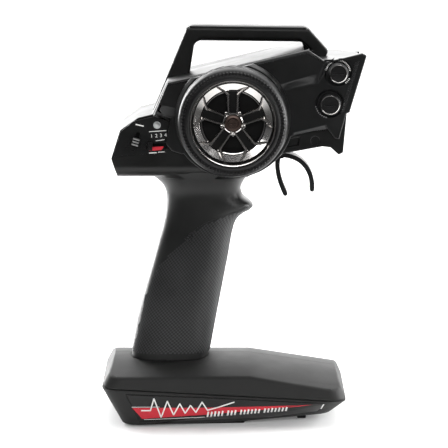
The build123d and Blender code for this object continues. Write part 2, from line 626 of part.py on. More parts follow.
def feet():
    """U-shaped rubber strip round the battery door and two taller feet, which together carry the base level."""
    plan = outline(STRIP_OUTER, 1.5) - outline(STRIP_INNER, 1.0)
    x, y = FRONT_FOOT
    foot = RectangleRounded(FOOT_SIZE, FOOT_SIZE, 1.0)
    strip = upright(plan, 0, STRIP_TOP)
    return [strip] + [upright(Pos(x, side * y) * foot, 0, FOOT_TOP) for side in (1, -1)]


def base_parts():
    """Two roof halves, a floor tray with a battery well, and its sliding door."""
    inside = base_upper(1.0)
    roof = base_upper(0) - base_upper(WALL)
    roof = roof + [post(x, y, 4.0, RIDGE_Z, 40) & inside for x, y in BASE_SCREWS]
    roof = roof - ([grip_form(0)] + base_screws())
    keep("base_top_right", solid(roof & half_space(-1)))
    keep("base_top_left", solid(roof & half_space(1)))

    inside = base_lower(1.0)
    tray = base_lower(0) - base_lower(WALL)
    well = block(WELL_X[0] - 2, WELL_X[1] + 3.4, -28.4, 28.4, BASE_FLOOR + 1, 13.0) & inside
    tray = tray + [well] + [post(x, y, 4.0, BASE_FLOOR + 1, 15.0) & inside for x, y in BASE_SCREWS]
    tray = tray - [block(*WELL_X, -26.0, 26.0, 0, 40),
                   block(DOOR_X[0] - 30, DOOR_X[1] + DOOR_GAP, -DOOR_HALF - DOOR_GAP, DOOR_HALF + DOOR_GAP, 0,
                         DOOR_Z[1] + DOOR_GAP)]
    tray = tray - [post(x, y, SCREW_HEAD_R + 0.2, 0, screw_seat(x)) for x, y in BASE_SCREWS]
    tray = tray - (base_screws() + feet())
    keep("base_bottom_tray", solid(tray - [label(-1), label(1)]))
    door = block(*DOOR_X, -DOOR_HALF, DOOR_HALF, *DOOR_Z)
    ribs = [block(DOOR_X[0] + 6 + 2.4 * index, DOOR_X[0] + 7.2 + 2.4 * index, -9, 9, 0, DOOR_Z[0] + 0.6)
            for index in range(4)]
    keep("battery_door", solid((door & base_lower(0.1)) - ribs))
    keep("battery_cells", group(cells()))
    keep("battery_contacts", group(contacts()))
    keep("base_screws", group(base_screws()))
    keep("rubber_feet", group(feet()))


LABEL = [(-61.4, 18.6), (-53.6, 3.0), (20.0, 3.8), (46.0, 6.8), (51.0, 13.4), (-20.0, 17.0)]


def label(side):
    """Printed plate on the lower side face of the base, let in flush."""
    region = across(outline(LABEL), min(0, side * 60), max(0, side * 60))
    return (base_lower(0) & region) - base_lower(0.7)


def labels():
    keep("label_plate_right", solid(label(-1)))
    keep("label_plate_left", solid(label(1)))


# ---------------------------------------------------------------- electronics
def electronics():
    """Circuit board with the radio module and aerial, and the two leads from the batteries."""
    back = BOARD_Y[1]
    keep("main_circuit_board", block(-42, -13, *BOARD_Y, 146.0, 172.0))
    keep("radio_module", block(-36, -20, back, back + 3.4, 154.0, 166.0))
    aerial = block(-34, -32.6, back, back + 0.8, 166.0, 188.0) + block(-34, 8, back, back + 0.8, 187.0, 189.0)
    keep("internal_antenna", solid(aerial))
    for name, y, top_x in (("battery_lead_red", 3.6, -20.0), ("battery_lead_black", 7.2, -16.0)):
        route = FilletPolyline((-38.0, y, 22.0), (-38.0, y, 40.0), (-22.0, y, 106.0), (top_x, y, 146.0),
                               (top_x, 10.9, 156.0), radius=[20, 40, 8])
        start = Plane(origin=route @ 0, z_dir=route % 0)
        keep(name, sweep(start * Circle(0.8), path=route))


def main():
    body_shells()
    carry_handle()
    head_covers()
    nose_cap()
    control_panel()
    sliders()
    wheel_tyre()
    wheel_rim()
    wheel_centre()
    keep("steering_spring", coil_spring(WHEEL_X, WHEEL_Z, 4.4, 0.9, -14.6, 5))
    trigger()
    trigger_bracket()
    gear_pair()
    keep("trigger_spring", coil_spring(PIVOT_X, PIVOT_Z, 2.9, 0.8, -15.0, 4))
    trim_knob("steering", *UPPER_KNOB)
    trim_knob("throttle", *LOWER_KNOB)
    base_parts()
    labels()
    electronics()
    keep("case_screws", group([case_screw(*place) for place in CASE_SCREWS]))
    keep("handle_screws", group(handle_screw_space()))
    os.makedirs("parts", exist_ok=True)
    for name, shape in PARTS.items():
        export_step(shape, "parts/" + name + ".step")


main()
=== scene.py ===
"""Looks of the pistol-grip radio transmitter: materials, moulded detail, camera and studio.

Outlines and places are written in millimetres in the frame of the CAD model; MM makes metres of them.
"""
import json
import math
import bmesh
import bpy
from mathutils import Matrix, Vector
from mathutils.bvhtree import BVHTree


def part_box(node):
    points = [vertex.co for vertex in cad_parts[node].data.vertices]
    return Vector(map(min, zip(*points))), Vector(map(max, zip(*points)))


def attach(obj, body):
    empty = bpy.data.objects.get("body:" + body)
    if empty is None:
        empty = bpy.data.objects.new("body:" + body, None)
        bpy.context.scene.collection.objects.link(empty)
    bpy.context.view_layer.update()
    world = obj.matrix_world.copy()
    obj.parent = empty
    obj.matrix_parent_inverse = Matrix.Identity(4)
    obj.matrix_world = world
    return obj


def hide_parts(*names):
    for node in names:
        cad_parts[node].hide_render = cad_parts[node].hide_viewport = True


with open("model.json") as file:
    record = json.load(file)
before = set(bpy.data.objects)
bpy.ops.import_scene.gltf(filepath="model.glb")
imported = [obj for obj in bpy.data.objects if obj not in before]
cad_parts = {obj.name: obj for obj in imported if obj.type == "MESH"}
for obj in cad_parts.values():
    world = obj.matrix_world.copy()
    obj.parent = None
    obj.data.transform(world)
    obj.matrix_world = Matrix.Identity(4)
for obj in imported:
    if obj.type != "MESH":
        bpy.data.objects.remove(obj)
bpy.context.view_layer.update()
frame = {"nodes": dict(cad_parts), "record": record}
NODES = frame["nodes"]

MM = 0.001
CASE = "case"
WELD_GAP = 0.002                # points nearer than this are one
FLAT_ANGLE = 0.6                # degrees; faces within it are one flat
EDGE_ANGLE = 28.0               # degrees; sharper edges are rounded
EDGE_SEGMENTS = 3
WIDEST_EDGE = 2.0
NORMAL_WEIGHT = 80
PRINT_RISE = 0.05               # how far flat prints stand proud
PRINT_SINK = 0.1                # and how deep they are rooted
LABEL_THICKNESS = 0.12


def centre_of(node):
    """Middle of a CAD node's box in millimetres."""
    low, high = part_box(node)
    return (low + high) / 2 / MM


HUB = centre_of("wheel_hub_cap")
WHEEL_X, WHEEL_Z = HUB.x, HUB.z
UPPER = centre_of("steering_trim_knob")
LOWER = centre_of("throttle_trim_knob")
COVER_FACE = -32.0
PANEL_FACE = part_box("control_panel")[0].y / MM
# camera on the wheel side, in metres, looking slightly down
CAMERA_PLACE = (-0.0067, -1.5, 0.36001)
CAMERA_TILT = 80.5
CAMERA_LENS = 214.41


# ---------------------------------------------------------------- camera and studio
def make_camera():
    data = bpy.data.cameras.new("camera")
    data.lens = CAMERA_LENS
    data.sensor_width = 36
    data.clip_end = 50
    camera = bpy.data.objects.new("camera", data)
    camera.location = CAMERA_PLACE
    camera.rotation_euler = (math.radians(CAMERA_TILT), 0, 0)
    bpy.context.scene.collection.objects.link(camera)
    bpy.context.scene.camera = camera


def area_light(name, place, target, size, power):
    """Soft light of a size in metres and a power in watts, aimed at a target."""
    data = bpy.data.lights.new(name, "AREA")
    data.shape = "RECTANGLE"
    data.size, data.size_y = size
    data.energy = power
    light = bpy.data.objects.new(name, data)
    light.location = place
    light.rotation_euler = (Vector(target) - Vector(place)).to_track_quat("-Z", "Y").to_euler()
    bpy.context.scene.collection.objects.link(light)


def make_world():
    """White studio that is bright behind the object and dim on the wheel side."""
    world = bpy.data.worlds.new("studio")
    bpy.context.scene.world = world
    world.use_nodes = True
    tree = world.node_tree
    tree.nodes.clear()
    place = node(tree, "TexCoord")
    axes = node(tree, "SeparateXYZ", {0: place.outputs["Generated"]})
    ramp = node(tree, "ValToRGB")
    share = node(tree, "MapRange", {0: axes.outputs["Y"], 1: -1.0, 2: 1.0, 3: 0.0, 4: 1.0})
    tree.links.new(share.outputs[0], ramp.inputs[0])
    stops = ramp.color_ramp.elements
    stops[0].position = 0.0
    stops[0].color = (0.10, 0.10, 0.105, 1)
    stops[1].position = 1.0
    stops[1].color = (3.6, 3.6, 3.6, 1)
    for position, level in ((0.40, 0.14), (0.66, 0.45), (0.82, 2.2)):
        stops.new(position).color = (level, level, level, 1)
    lit = node(tree, "Background", {0: ramp.outputs[0], 1: 1.0})
    seen = node(tree, "Background", {0: (1.0, 1.0, 1.0, 1.0), 1: 1.05})
    path = node(tree, "LightPath")
    chosen = node(tree, "MixShader", {0: path.outputs["Is Camera Ray"], 1: lit.outputs[0],
                                      2: seen.outputs[0]})
    output = node(tree, "OutputWorld")
    tree.links.new(chosen.outputs[0], output.inputs[0])


def make_studio():
    make_world()
    bpy.context.scene.view_settings.view_transform = "Standard"
    bpy.context.scene.view_settings.look = "None"
    bpy.ops.mesh.primitive_circle_add(vertices=96, radius=9, fill_type="NGON")
    floor = bpy.context.object
    floor.name = "floor"
    floor.data.materials.append(floor_paper())
    area_light("front_softbox", (-0.15, -1.15, 0.66), (0, 0, 0.17), (1.5, 0.3), 6)
    area_light("overhead", (0.1, 0.35, 1.4), (0, 0, 0.1), (1.4, 1.2), 20)
    area_light("left_strip", (-0.7, 0.95, 0.3), (0, 0, 0.17), (0.3, 1.2), 20)
    area_light("right_strip", (1.15, 0.3, 0.3), (0, 0, 0.12), (0.3, 1.2), 26)
    area_light("right_card", (0.95, -0.75, 0.3), (0, 0, 0.17), (0.12, 0.7), 4)


# ---------------------------------------------------------------- materials
def node(tree, kind, inputs=None, **settings):
    """A shader node; each input is a value or the socket that feeds it."""
    made = tree.nodes.new("ShaderNode" + kind)
    for key, value in settings.items():
        setattr(made, key, value)
    for key, value in (inputs or {}).items():
        if isinstance(value, bpy.types.NodeSocket):
            tree.links.new(value, made.inputs[key])
        else:
            made.inputs[key].default_value = value
    return made


def shade(colour, factor):
    """Colour made lighter or darker, with alpha 1."""
    return tuple(min(1.0, part * factor) for part in colour) + (1.0,)


def finish_material(name, colour, rough, metallic=0.0, specular=0.35, grain=0.4, depth=0.02,
                    cloud=0.25, wear=0.0):
    """Surface with clouded colour and gloss and worn edges.

    grain and depth, in millimetres, are the size and the height of its fine texture.
    """
    material = bpy.data.materials.new(name)
    material.use_nodes = True
    tree = material.node_tree
    shader = tree.nodes["Principled BSDF"]
    shader.inputs["Metallic"].default_value = metallic
    shader.inputs["Specular IOR Level"].default_value = specular
    place = node(tree, "TexCoord").outputs["Object"]
    clouds = node(tree, "TexNoise",
                  {"Vector": place, "Scale": 45.0, "Detail": 3.0, "Roughness": 0.6})
    tint = node(tree, "ValToRGB", {0: clouds.outputs[0]})
    stops = tint.color_ramp.elements
    stops[0].position = 0.3
    stops[0].color = shade(colour, 1 - cloud)
    stops[1].position = 0.7
    stops[1].color = shade(colour, 1 + cloud)
    base = tint.outputs[0]
    if wear:
        base = worn_edges(tree, place, base, colour, wear)
    tree.links.new(base, shader.inputs["Base Color"])
    gloss = node(tree, "MapRange",
                 {0: clouds.outputs[0], 1: 0.3, 2: 0.7, 3: rough - 0.05, 4: rough + 0.05})
    tree.links.new(gloss.outputs[0], shader.inputs["Roughness"])
    if depth:
        fine = node(tree, "TexNoise", {"Vector": place, "Scale": 1.0 / (grain * MM), "Detail": 2.0})
        bump = node(tree, "Bump", {"Strength": 1.0, "Distance": depth * MM, "Height": fine.outputs[0]})
        tree.links.new(bump.outputs[0], shader.inputs["Normal"])
    return material


def worn_edges(tree, place, base, colour, wear):
    """Colour that turns paler in broken patches along the edges."""
    rounded = node(tree, "Bevel", {"Radius": 0.5 * MM}, samples=4)
    flat = node(tree, "NewGeometry")
    match = node(tree, "VectorMath", {0: rounded.outputs[0], 1: flat.outputs["Normal"]},
                 operation="DOT_PRODUCT")
    edge = node(tree, "MapRange", {0: match.outputs["Value"], 1: 0.995, 2: 0.86, 3: 0.0, 4: wear})
    scuffs = node(tree, "TexNoise", {"Vector": place, "Scale": 260.0, "Detail": 4.0})
    broken = node(tree, "Math", {0: edge.outputs[0], 1: scuffs.outputs[0]}, operation="MULTIPLY")
    worn = node(tree, "MixRGB", {0: broken.outputs[0], 1: base, 2: shade(colour, 12.0)})
    return worn.outputs[0]


def floor_paper():
    """Pale matt paper; glossy rays see it fading on the wheel side to a dark card, a painted dark
    reflection.
    """
    paper = finish_material("floor_paper", (0.9, 0.9, 0.9), 0.9, specular=0.1, grain=3.0, depth=0.05,
                            cloud=0.004)
    tree = paper.node_tree
    shader = tree.nodes["Principled BSDF"]
    shader.inputs["Emission Color"].default_value = (1, 1, 1, 1)
    axes = node(tree, "SeparateXYZ", {0: node(tree, "NewGeometry").outputs["Position"]})
    glow = node(tree, "MapRange", {0: axes.outputs["Y"], 1: 0.3, 2: 1.6, 3: 0.12, 4: 0.45})
    tree.links.new(glow.outputs[0], shader.inputs["Emission Strength"])
    # painted dark reflection: glossy rays see the paper on the wheel side as near black, which darkens
    # what glossy parts mirror
    front = node(tree, "MapRange", {0: axes.outputs["Y"], 1: -0.17, 2: -0.37, 3: 0.0, 4: 0.95})
    rays = node(tree, "LightPath")
    dark_reflection_share = node(tree, "Math", {0: front.outputs[0], 1: rays.outputs["Is Glossy Ray"]},
                    operation="MULTIPLY")
    painted_dark_reflection = node(tree, "BsdfDiffuse", {"Color": (0.01, 0.01, 0.01, 1)})
    mix = node(tree, "MixShader", {0: dark_reflection_share.outputs[0], 1: shader.outputs[0], 2: painted_dark_reflection.outputs[0]})
    tree.links.new(mix.outputs[0], tree.nodes["Material Output"].inputs["Surface"])
    return paper


FINISHES = {
    "body_plastic": dict(colour=(0.0054, 0.0056, 0.0054), rough=0.36, specular=0.3, grain=0.45,
                         depth=0.014, wear=0.6),
    "base_plastic": dict(colour=(0.0085, 0.0086, 0.0082), rough=0.60, specular=0.36, grain=0.5,
                         depth=0.03, wear=0.6),
    "cover_plastic": dict(colour=(0.0060, 0.0062, 0.0063), rough=0.33, specular=0.3, depth=0.010,
                          wear=0.6),
    "grip_rubber": dict(colour=(0.0046, 0.0049, 0.0052), rough=0.36, specular=0.3, grain=0.3,
                        depth=0.01),
    "foot_rubber": dict(colour=(0.012, 0.012, 0.012), rough=0.8, specular=0.25, grain=0.5, depth=0.03),
    "tyre_rubber": dict(colour=(0.0035, 0.0035, 0.0037), rough=0.44, specular=0.27, grain=0.5,
                        depth=0.015),
    "dark_chrome": dict(colour=(0.70, 0.68, 0.66), rough=0.15, metallic=1.0, grain=1.6, depth=0.01,
                        cloud=0.12),
    "cap_metal": dict(colour=(0.075, 0.052, 0.044), rough=0.3, metallic=0.8, grain=0.5, depth=0.012),
    "screw_steel": dict(colour=(0.36, 0.36, 0.37), rough=0.34, metallic=1.0, grain=0.2, depth=0.01),
    "knob_plastic": dict(colour=(0.004, 0.004, 0.0042), rough=0.36, specular=0.3, grain=0.35,
                         depth=0.01, wear=0.5),
    "panel_plastic": dict(colour=(0.006, 0.0062, 0.0062), rough=0.3, grain=0.3, depth=0.006),
    "label_print": dict(colour=(0.008, 0.008, 0.0078), rough=0.38, specular=0.3, grain=0.6,
                        depth=0.006),
    "lens": dict(colour=(0.42, 0.43, 0.43), rough=0.22, specular=0.5, grain=0.5, depth=0.004,
                 cloud=0.05),
    "spring_steel": dict(colour=(0.45, 0.45, 0.46), rough=0.3, metallic=1.0, grain=0.15, depth=0.01),
    "gear_plastic": dict(colour=(0.72, 0.71, 0.66), rough=0.45, depth=0.01, cloud=0.06),
    "pot_body": dict(colour=(0.03, 0.08, 0.2), rough=0.35, depth=0.01),
    "circuit_board": dict(colour=(0.015, 0.1, 0.04), rough=0.35, specular=0.5, grain=0.5, depth=0.01),
    "module_can": dict(colour=(0.6, 0.6, 0.6), rough=0.35, metallic=1.0, grain=0.3, depth=0.01),
    "brass": dict(colour=(0.6, 0.42, 0.16), rough=0.35, metallic=1.0, grain=0.2, depth=0.01),
    "battery_wrap": dict(colour=(0.02, 0.02, 0.024), rough=0.3, specular=0.5, grain=1.0, depth=0.005),
    "contact_plate": dict(colour=(0.65, 0.65, 0.63), rough=0.3, metallic=1.0, grain=0.3, depth=0.01),
    "lead_red": dict(colour=(0.35, 0.01, 0.01), rough=0.5, grain=0.3, depth=0.01),
    "lead_black": dict(colour=(0.01, 0.01, 0.01), rough=0.5, grain=0.3, depth=0.01),
    "print_white": dict(colour=(0.78, 0.78, 0.76), rough=0.45, grain=0.3, depth=0.004, cloud=0.06),
    "print_grey": dict(colour=(0.22, 0.22, 0.22), rough=0.45, grain=0.3, depth=0.004, cloud=0.1),
    "print_red": dict(colour=(0.52, 0.016, 0.03), rough=0.38, grain=0.3, depth=0.004, cloud=0.08),
    # dot faces: lighter than grip_rubber as a painted highlight, and glossier
    "rubber_dots_painted_highlight": dict(colour=(0.012, 0.0125, 0.013), rough=0.3, specular=0.48, grain=0.3, depth=0.01),
    "black_paint": dict(colour=(0.003, 0.003, 0.003), rough=0.5, specular=0.15, grain=0.5, depth=0.01),
}
MATERIALS = {name: finish_material(name, **look) for name, look in FINISHES.items()}


# ---------------------------------------------------------------- mesh helpers
def add_object(name, mesh):
    """New object in the scene."""
    made = bpy.data.objects.new(name, mesh)
    bpy.context.scene.collection.objects.link(made)
    return made


def solid_mesh(name, points, faces, angle=32.0, slots=None):
    """Object from points in millimetres; slots gives the material number of each face."""
    mesh = bpy.data.meshes.new(name)
    mesh.from_pydata([(x * MM, y * MM, z * MM) for x, y, z in points], [], faces)
    if slots:
        mesh.polygons.foreach_set("material_index", slots)
    made = add_object(name, mesh)
    tidy_mesh(made, angle)
    return made


def tidy_mesh(piece, angle=32.0):
    """Merge doubles, drop empty faces, turn normals outward and keep edges over the angle sharp."""
    work = bmesh.new()
    work.from_mesh(piece.data)
    bmesh.ops.remove_doubles(work, verts=work.verts, dist=WELD_GAP * MM)
    bmesh.ops.dissolve_degenerate(work, edges=work.edges, dist=0.001 * MM)
    bmesh.ops.recalc_face_normals(work, faces=work.faces)
    work.to_mesh(piece.data)
    work.free()
    piece.data.shade_smooth()
    piece.data.set_sharp_from_angle(angle=math.radians(angle))


def bake_modifiers(piece):
    """Replace the mesh by what its modifiers make of it."""
    bpy.context.view_layer.update()
    graph = bpy.context.evaluated_depsgraph_get()
    mesh = bpy.data.meshes.new_from_object(piece.evaluated_get(graph))
    piece.modifiers.clear()
    piece.data = mesh


def give(piece, body, slot, material=None, stands_for=()):
    """Material and body of a new piece; slot names the material unless another is given."""
    if not piece.data.materials:
        piece.data.materials.append(material or MATERIALS[slot])
    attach(piece, body)
    if stands_for:
        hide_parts(*stands_for)
    return piece


def join(name, pieces, angle=32.0):
    """One object from several, with their meshes side by side."""
    work = bmesh.new()
    for piece in pieces:
        work.from_mesh(piece.data)
    mesh = bpy.data.meshes.new(name)
    work.to_mesh(mesh)
    work.free()
    for piece in pieces:
        bpy.data.objects.remove(piece)
    made = add_object(name, mesh)
    tidy_mesh(made, angle)
    return made


def prism(name, outline, y_front, y_back, bevel=0.0):
    """Closed solid of an (x, z) outline between two depths; its edges may be rounded."""
    count = len(outline)
    points = [(x, y_front, z) for x, z in outline] + [(x, y_back, z) for x, z in outline]
    sides = [(i, (i + 1) % count, (i + 1) % count + count, i + count) for i in range(count)]
    ends = [tuple(range(count)), tuple(range(2 * count - 1, count - 1, -1))]
    made = solid_mesh(name, points, ends + sides)
    if bevel:
        rounding = made.modifiers.new("edges", "BEVEL")
        rounding.width = bevel * MM
        rounding.segments = EDGE_SEGMENTS
        rounding.limit_method = "ANGLE"
        bake_modifiers(made)
        tidy_mesh(made)
    return made


def lathe(name, profile, x, z, segments=180, relief=None, bands=None):
    """Ring or disc turned about the Y line through (x, z).

    The profile is a closed list of (radius, y). relief(index of the profile point, segment) moves a
    point by (radius, y). bands gives the material number of each stretch of the profile.
    """
    points = []
    for step in range(segments):
        angle = 2 * math.pi * step / segments
        for index, (radius, y) in enumerate(profile):
            out, along = relief(index, step) if relief else (0.0, 0.0)
            points.append((x + (radius + out) * math.cos(angle), y + along,
                           z + (radius + out) * math.sin(angle)))
    count = len(profile)
    faces = []
    slots = []
    for step in range(segments):
        ahead = (step + 1) % segments
        for index in range(count):
            after = (index + 1) % count
            faces.append((step * count + index, step * count + after,
                          ahead * count + after, ahead * count + index))
            slots.append(bands[index] if bands else 0)
    return solid_mesh(name, points, faces, slots=slots)


def copy_of(cad_node, name):
    """New object with the CAD node's mesh, welded, without its stored normals and materials."""
    made = add_object(name, NODES[cad_node].data.copy())
    made.data.materials.clear()
    if made.data.has_custom_normals:
        bpy.context.view_layer.objects.active = made
        with bpy.context.temp_override(object=made, active_object=made):
            bpy.ops.mesh.customdata_custom_splitnormals_clear()
    work = bmesh.new()
    work.from_mesh(made.data)
    bmesh.ops.remove_doubles(work, verts=work.verts, dist=WELD_GAP * MM)
    bmesh.ops.recalc_face_normals(work, faces=work.faces)
    for edge in work.edges:
        edge.smooth = True
    work.to_mesh(made.data)
    work.free()
    return made


def merge_flats(piece):
    """Merge triangles that lie in one plane."""
    work = bmesh.new()
    work.from_mesh(piece.data)
    bmesh.ops.dissolve_limit(work, angle_limit=math.radians(FLAT_ANGLE), verts=work.verts,
                             edges=work.edges)
    work.to_mesh(piece.data)
    work.free()


def boolean(piece, cutter, operation):
    """Cut a piece with another, or join the other to it; the other is used up."""
    change = piece.modifiers.new("cut", "BOOLEAN")
    change.operation = operation
    change.solver = "EXACT"
    change.object = cutter
    bake_modifiers(piece)
    bpy.data.objects.remove(cutter)


def round_edges(piece, width_of):
    """Bevel the edges sharper than EDGE_ANGLE.

    width_of(one end, other end), in millimetres, gives each edge's width in millimetres. An edge of
    width 0 stays crisp, and an edge of width None is only shaded smooth.
    """
    piece.data.shade_smooth()
    work = bmesh.new()
    work.from_mesh(piece.data)
    layers = work.edges.layers.float
    weights = layers.get("bevel_weight_edge") or layers.new("bevel_weight_edge")
    for edge in work.edges:
        edge[weights] = 0.0
        if len(edge.link_faces) == 2 and math.degrees(edge.calc_face_angle(0.0)) > EDGE_ANGLE:
            width = width_of(edge.verts[0].co / MM, edge.verts[1].co / MM)
            if width is not None:
                edge[weights] = min(1.0, width / WIDEST_EDGE)
                edge.smooth = width > 0
    work.to_mesh(piece.data)
    work.free()
    rounding = piece.modifiers.new("edges", "BEVEL")
    rounding.width = WIDEST_EDGE * MM
    rounding.segments = EDGE_SEGMENTS
    rounding.limit_method = "WEIGHT"
    rounding.use_clamp_overlap = False
    smooth = piece.modifiers.new("normals", "WEIGHTED_NORMAL")
    smooth.weight = NORMAL_WEIGHT
    smooth.keep_sharp = True
    bake_modifiers(piece)


def soften_node(cad_node, width):
    """Rounded edges and even shading on a CAD node, by modifiers only."""
    shown = NODES[cad_node]
    weld = shown.modifiers.new("weld", "WELD")
    weld.merge_threshold = WELD_GAP * MM
    flats = shown.modifiers.new("flats", "DECIMATE")
    flats.decimate_type = "DISSOLVE"
    flats.angle_limit = math.radians(FLAT_ANGLE)
    if width:
        rounding = shown.modifiers.new("edges", "BEVEL")
        rounding.width = width * MM
        rounding.segments = EDGE_SEGMENTS
        rounding.limit_method = "ANGLE"
        rounding.angle_limit = math.radians(EDGE_ANGLE)
        rounding.use_clamp_overlap = True
    smooth = shown.modifiers.new("normals", "WEIGHTED_NORMAL")
    smooth.weight = NORMAL_WEIGHT
    smooth.keep_sharp = False


# ---------------------------------------------------------------- grip
# height, rear x, front x, half width
GRIP = [(29.0, -61.3, -17.0, 17.8), (33.0, -60.2, -16.0, 17.8), (64.0, -54.2, -10.2, 18.0),
        (93.5, -46.4, -4.6, 18.0), (103.0, -43.8, -3.0, 18.0), (111.0, -41.6, -1.2, 18.0),
        (120.0, -39.9, 1.0, 18.1), (127.5, -39.5, 2.4, 18.4), (131.4, -40.6, 3.0, 19.2),
        (135.0, -43.4, 4.6, 20.8), (138.8, -48.4, 8.0, 23.0), (142.0, -54.0, 14.0, 24.6),
        (147.0, -60.0, 20.0, 25.6)]
GRIP_SQUARENESS = 2.8           # exponent of the section, which is a rounded oblong
GRIP_FOOT = 50                  # below this height the section grows squarer
GRIP_FOOT_RATE = 0.025
GRIP_WALL = 2.4
# height, how far the finger spur stands forward
SPUR = [(104.0, 0.0), (110.0, 0.2), (113.0, 1.0), (116.3, 3.8), (118.2, 7.2), (120.5, 8.3), (122.6, 6.8),
        (125.7, 2.2), (129.0, 0.3), (131.0, 0.0)]
GRIP_LOW = 30.0
HEAD_LOW = 138.6                # the CAD head is kept above this height
RUBBER_LOW = 36.6
RUBBER_HIGH = 126.0
RUBBER_RISE = 0.16              # above the grip's skin
DOT_RISE = 0.66
RUBBER_BORDER = 1.0             # smooth edge without dots
RUBBER_THICKNESS = 0.9
RUBBER_COLUMNS, RUBBER_ROWS = 132, 176
# x, height of the rubber's upper edge
RUBBER_EDGE = [(12.0, 122.2), (-0.5, 118.1), (-11.8, 114.7), (-20.2, 110.7), (-28.7, 103.8), (-37.2, 95.2),
               (-42.9, 88.4), (-48.6, 76.9), (-51.4, 68.2), (-55.5, 50.9), (-59.0, 36.4), (-66.0, 10.0)]


def curve_through(table, at, column=1):
    """Smooth curve through a table's rows, whose first number is the place and column the value."""
    last = len(table) - 1
    rising = table[0][0] < table[last][0]
    index = 0
    while index < last - 1 and (table[index + 1][0] < at) == rising and table[index + 1][0] != at:
        index += 1
    low, high = table[index], table[index + 1]
    before = table[max(0, index - 1)]
    after = table[min(last, index + 2)]
    span = high[0] - low[0]
    share = min(1.0, max(0.0, (at - low[0]) / span))
    slope_low = (high[column] - before[column]) / (high[0] - before[0]) * span
    slope_high = (after[column] - low[column]) / (after[0] - low[0]) * span
    a = 2 * low[column] - 2 * high[column] + slope_low + slope_high
    b = 3 * (high[column] - low[column]) - 2 * slope_low - slope_high
    return ((a * share + b) * share + slope_low) * share + low[column]


def grip_point(turn, z, out=0.0):
    """Point of the grip's skin on the wheel side; turn runs from 0 at the front to pi at the rear."""
    rear = curve_through(GRIP, z, 1)
    front = curve_through(GRIP, z, 2)
    half = curve_through(GRIP, z, 3) + out
    power = 2 / (GRIP_SQUARENESS + GRIP_FOOT_RATE * max(0.0, GRIP_FOOT - z))
    middle = (rear + front) / 2
    reach = (front - rear) / 2 + out
    x = middle + reach * math.copysign(abs(math.cos(turn)) ** power, math.cos(turn))
    if turn < math.pi / 2 and 104 < z < 131:
        x += curve_through(SPUR, z) * math.cos(turn) ** 2
    return (x, -half * math.sin(turn) ** power, z)


def even_turns(count):
    """Turns that space the points evenly round the section at half height."""
    fine = [math.pi * step / 2000 for step in range(2001)]
    lengths = [0.0]
    for first, second in zip(fine, fine[1:]):
        stretch = Vector(grip_point(first, 80)) - Vector(grip_point(second, 80))
        lengths.append(lengths[-1] + stretch.length)
    turns = []
    place = 0
    for number in range(count + 1):
        wanted = lengths[-1] * number / count
        while place < 1999 and lengths[place + 1] < wanted:
            place += 1
        turns.append(fine[place] if number not in (0, count) else math.pi * (number // count))
    return turns


def grip_half(side):
    """Closed half shell of the grip, from the base to inside the head."""
    turns = even_turns(72)
    heights = [GRIP_LOW + 1.0 * step for step in range(117)]
    points = []
    faces = []
    for inset in (0.0, -GRIP_WALL):
        for z in heights:
            for turn in turns:
                x, y, height = grip_point(turn, z, inset)
                points.append((x, -side * y, height))
    across = len(turns)
    rows = len(heights)
    skin = across * rows
    for row in range(rows - 1):
        for column in range(across - 1):
            corner = row * across + column
            quad = (corner, corner + 1, corner + across + 1, corner + across)
            faces.append(quad)
            faces.append(tuple(skin + index for index in reversed(quad)))
    for row in range(rows - 1):
        for column in (0, across - 1):
            low = row * across + column
            faces.append((low, low + across, skin + low + across, skin + low))
    for start in (0, (rows - 1) * across):
        for column in range(across - 1):
            low = start + column
            faces.append((low, low + 1, skin + low + 1, skin + low))
    return solid_mesh("grip_half", points, faces, 60)


def rubber_top(turn):
    """Height where the rubber inlay ends at this place round the grip."""
    low, high = RUBBER_LOW, RUBBER_HIGH
    for _ in range(30):
        z = (low + high) / 2
        if z < curve_through(RUBBER_EDGE, grip_point(turn, z)[0]):
            low = z
        else:
            high = z
    return low


def grip_rubber(side, name, cad_node):
    """Rubber inlay with a smooth border and staggered rows of small raised dots, whose faces are lighter
    as a painted highlight.
    """
    turns = even_turns(RUBBER_COLUMNS)
    step = (RUBBER_HIGH - RUBBER_LOW) / RUBBER_ROWS
    tops = [rubber_top(turn) for turn in turns]
    points = []
    raised = set()
    for row in range(RUBBER_ROWS + 1):
        for column, turn in enumerate(turns):
            z = min(RUBBER_LOW + row * step, tops[column])
            edge = min(tops[column] - z, z - RUBBER_LOW)
            dot = row % 2 == 0 and (column + row) % 4 == 0 and column >= 2 and edge >= RUBBER_BORDER
            if dot:
                raised.add(len(points))
            x, y, height = grip_point(turn, z, DOT_RISE if dot else RUBBER_RISE)
            points.append((x, -side * y, height))
    across = RUBBER_COLUMNS + 1
    faces = []
    for row in range(RUBBER_ROWS):
        for column in range(RUBBER_COLUMNS):
            if max(tops[column], tops[column + 1]) > RUBBER_LOW + row * step + 0.001:
                corner = row * across + column
                faces.append((corner, corner + 1, corner + across + 1, corner + across))
    # faces round a raised dot take the second material, whose lighter colour is a painted highlight
    slots = [0 if raised.isdisjoint(face) else 1 for face in faces]
    made = solid_mesh(name, points, faces, 180, slots)
    made.data.materials.append(MATERIALS["grip_rubber"])
    made.data.materials.append(MATERIALS["rubber_dots_painted_highlight"])
    if made.data.polygons[len(made.data.polygons) // 2].normal.y * side < 0:
        made.data.flip_normals()
    thick = made.modifiers.new("thickness", "SOLIDIFY")
    thick.thickness = RUBBER_THICKNESS * MM
    thick.offset = -1
    bake_modifiers(made)
    tidy_mesh(made, 75)
    return give(made, CASE, "grip_rubber", stands_for=[cad_node])


def circle_points(x, z, radius, count=32):
    """Corners of a many-sided circle."""
    return [(x + radius * math.cos(2 * math.pi * step / count),
             z + radius * math.sin(2 * math.pi * step / count)) for step in range(count)]


